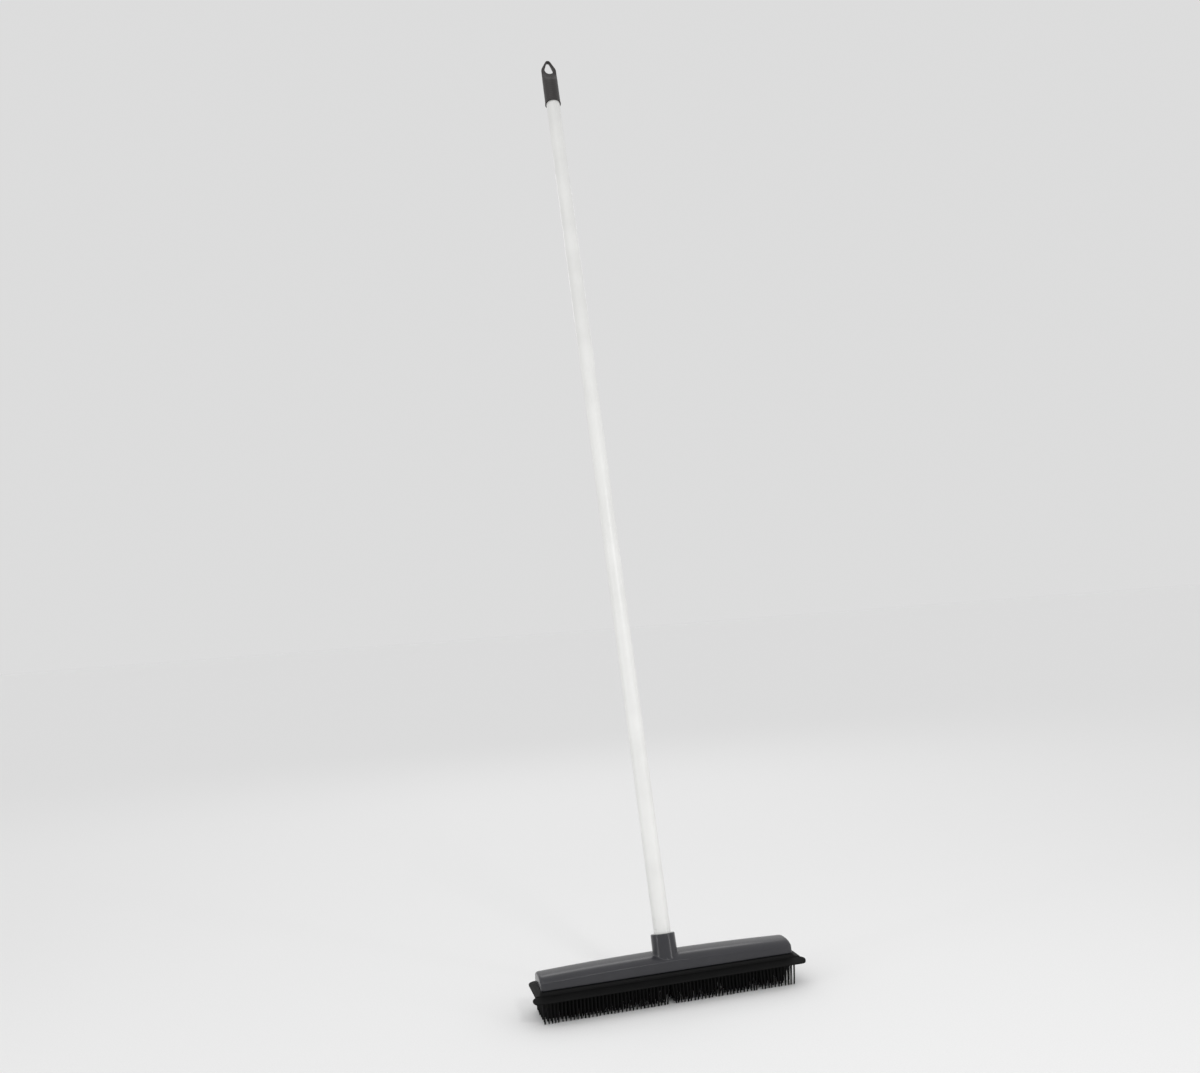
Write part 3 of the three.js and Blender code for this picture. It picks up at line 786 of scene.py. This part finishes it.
def eyeHole():    # the drop-shaped hole as (sideways, height), from its top round to the left
    wide, narrow = cap["eyeRadius"], cap["eyeTipRadius"]
    wideHeight = capHigh - cap["topWall"] - cap["eyeLength"] + wide
    narrowHeight = capHigh - cap["topWall"] - narrow
    side = math.asin((wide - narrow) / (narrowHeight - wideHeight))
    fine, finer = cap["eyeSteps"], 2 * cap["eyeSteps"]
    left = [(narrow, narrowHeight, math.pi / 2 + (math.pi / 2 - side) * i / fine) for i in range(fine + 1)]
    left += [(wide, wideHeight, math.pi - side + (math.pi / 2 + side) * i / finer) for i in range(finer + 1)]
    points = [(r * math.cos(turn), height + r * math.sin(turn)) for r, height, turn in left]
    return points + [(-x, z) for x, z in reversed(points[1:-1])]


def pointAlong(outline, share):    # the place at this share of a closed outline's length
    ends = outline[1:] + outline[:1]
    lengths = [math.dist(a, b) for a, b in zip(outline, ends)]
    wanted = share * sum(lengths)
    for a, b, length in zip(outline, ends, lengths):
        if wanted <= length:
            return Vector(a).lerp(Vector(b), wanted / length)
        wanted -= length
    return Vector(outline[0])


capLow, capHigh = spanOnHandle("hanger_cap")
capLength = capHigh - capLow


def capRelief(up):    # how far the lip and the ribs stand out of the sleeve at this height
    if up == 0:
        return cap["lip"] - cap["lipEdge"]
    if up <= cap["lipHeight"]:
        return cap["lip"]
    along = (up - cap["lipHeight"] - cap["ribStart"]) / cap["ribPitch"]
    if 0 < along < cap["ribs"]:
        return cap["ribDepth"] * max(0.0, math.sin(2 * math.pi * along))
    return 0.0


def makeCap():
    bm = bmesh.new()
    ups = list(cap["footRows"])
    while ups[-1] < capLength - cap["topZone"]:
        ups.append(ups[-1] + cap["rowStep"])
    ups += [capLength - down for down in cap["topRows"]]
    socket = circleLoop(bm, cap["steps"])
    bmesh.ops.scale(bm, vec=(cap["socketRadius"], cap["socketRadius"], 1), verts=socket)
    bmesh.ops.translate(bm, vec=(0, 0, capLow + cap["socketDepth"]), verts=socket)
    closeLoop(bm, socket)
    ring = growLoop(bm, socket)
    for v in ring:
        v.co.z = capLow
    for up in ups:
        ring = growLoop(bm, ring)
        wide = min(capHalfWidth(capLength - up), cap["radius"])
        deep = min(capHalfThickness(up), cap["radius"])
        flat = 1 - (deep - cap["eyeThickness"] / 2) / (cap["radius"] - cap["eyeThickness"] / 2)
        power = 2 / (2 + cap["squareness"] * flat)    # from a circle to a flat bar with round edges
        extra = capRelief(up)
        for v, angle in zip(ring, evenTurns(cap["steps"])):
            c, s = math.cos(angle), math.sin(angle)
            x = math.copysign(abs(c) ** power, c) * (wide + extra)
            y = math.copysign(abs(s) ** power, s) * (min(deep, max(wide, cap["leastDepth"])) + extra)
            v.co = Vector((x, y, capLow + up))
    closeLoop(bm, ring)
    cutEye(bm)
    makePiece("hanger_cap_moulded", bm, capPolypropylene, "hanger", "hanger_cap", lean)


def cutEye(bm):
    outline = [pointAlong(eyeHole(), i / cap["eyePoints"]) for i in range(cap["eyePoints"])]
    middle = capHigh - cap["topWall"] - cap["eyeLength"] / 2
    turns = [math.atan2(x, middle - z) for x, z in outline]    # -pi and pi at the top

    def isInEye(point, side):    # on one flat of the cap, above the socket and within the outline
        if point.y * side <= 0 or point.z <= capLow + cap["socketDepth"] + cap["aboveSocket"]:
            return False
        turn = math.atan2(point.x, middle - point.z)
        x, z = outline[min(range(len(turns)), key=lambda i: abs(turns[i] - turn))]
        return math.hypot(point.x, point.z - middle) < math.hypot(x, z - middle)

    for side in (-1, 1):
        inside = {f for f in bm.faces if isInEye(f.calc_center_median(), side)}
        rim = {v for f in inside for v in f.verts if any(g not in inside for g in v.link_faces)}
        bmesh.ops.delete(bm, geom=[f for f in bm.faces if f in inside], context="FACES")
        ordered = sorted(rim, key=lambda v: turnOf(-v.co.x, v.co.z - middle))
        for index, v in enumerate(ordered):
            v.co.x, v.co.z = pointAlong(outline, index / len(ordered))
    rims = [e for e in bm.edges if e.is_boundary]
    bmesh.ops.bridge_loops(bm, edges=rims)
    bmesh.ops.bevel(bm, geom=rims, offset=cap["eyeEdge"], segments=2, profile=0.5, affect="EDGES",
                    material=-1, clamp_overlap=True)


makeCap()


# the plate and its screws stay as the CAD has them
frame["nodes"]["backing_plate"].material_slots[0].material = platePolypropylene
for name, node in frame["nodes"].items():
    if name.startswith("plate_screw"):
        node.material_slots[0].material = screwZinc


studio = {    # the floor and the sun's place are in metres, the fibre in millimetres
    "floorSize": 120, "paperTint": ("#EEEEEE", "#F1F1F1"), "fibre": 2,
    "skyStrength": 0.72, "sunStrength": 0.34, "sunSize": 50, "sunPlace": (-0.6, -0.5, 2),
}
# name, place, what it points at, width, height, power and the spread of its beam in degrees
softboxes = [
    ("keyLight", (0.38, -1.6, 1.5), (0, 0, 0.05), 0.3, 0.3, 1.6, 100),
    ("leftStrip", (-1.75, -0.4, 0.66), (0, 0, 0.5), 0.1, 1.2, 1.1, 100),
    ("rightStrip", (1.2, -1.3, 0.66), (0, 0, 0.5), 0.1, 1.2, 1.1, 100),
    ("backLight", (0.3, 2.0, 1.7), (0, 0, 0.3), 1.6, 0.6, 4, 180),
]


def putLight(name, kind, place, aim, settings):
    lamp = bpy.data.lights.new(name, kind)
    for key, value in settings.items():
        setattr(lamp, key, value)
    holder = bpy.data.objects.new(name, lamp)
    bpy.context.scene.collection.objects.link(holder)
    holder.location = place
    holder.rotation_euler = (Vector(aim) - Vector(place)).to_track_quat("-Z", "Y").to_euler()


def makeStudio():
    bm = bmesh.new()
    bmesh.ops.create_grid(bm, x_segments=1, y_segments=1, size=studio["floorSize"] / 2)
    mesh = bpy.data.meshes.new("floor")
    bm.to_mesh(mesh)
    bm.free()
    paper, tree, shader, place = startMaterial("palePaper", {"Roughness": 0.95, "Specular IOR Level": 0.1})
    fibre = addNode(tree, "ShaderNodeTexNoise", noiseSettings(studio["fibre"], 3.0), {"Vector": place})
    tintBetween(tree, shader, fibre.outputs["Fac"], *studio["paperTint"])
    mesh.materials.append(paper)
    floor = bpy.data.objects.new("floor", mesh)
    bpy.context.scene.collection.objects.link(floor)
    world = bpy.data.worlds.new("studio")
    bpy.context.scene.world = world
    world.use_nodes = True
    sky = world.node_tree.nodes["Background"]
    sky.inputs["Color"].default_value = (1, 1, 1, 1)
    sky.inputs["Strength"].default_value = studio["skyStrength"]
    sun = {"energy": studio["sunStrength"], "angle": math.radians(studio["sunSize"])}
    putLight("overhead", "SUN", studio["sunPlace"], (0, 0, 0), sun)
    for name, spot, aim, width, height, power, spread in softboxes:
        box = {"shape": "RECTANGLE", "size": width, "size_y": height, "energy": power}
        box["spread"] = math.radians(spread)
        putLight(name, "AREA", spot, aim, box)
    bpy.context.scene.view_settings.view_transform = "Standard"


camera = {    # metres and degrees; it stands back from the sight point and looks at the aim
    "turn": 15.4, "height": 17.5, "distance": 1.45, "roll": 4.2, "sight": Vector((0, 0, 0.045)),
    "aim": Vector((-0.02, 0.10, 0.60)), "fieldOfView": 54,
}


def makeCamera():
    turn, rise = math.radians(camera["turn"]), math.radians(camera["height"])
    back = Vector((-math.sin(turn) * math.cos(rise), -math.cos(turn) * math.cos(rise), math.sin(rise)))
    data = bpy.data.cameras.new("camera")
    holder = bpy.data.objects.new("camera", data)
    bpy.context.scene.collection.objects.link(holder)
    place = camera["sight"] + back * camera["distance"]
    aim = (camera["aim"] - place).to_track_quat("-Z", "Y").to_matrix().to_4x4()
    roll = Matrix.Rotation(math.radians(-camera["roll"]), 4, "Z")
    holder.matrix_world = Matrix.Translation(place) @ aim @ roll
    data.sensor_fit = "VERTICAL"
    data.angle = math.radians(camera["fieldOfView"])
    bpy.context.scene.camera = holder


makeStudio()
makeCamera()
print("studio ready")
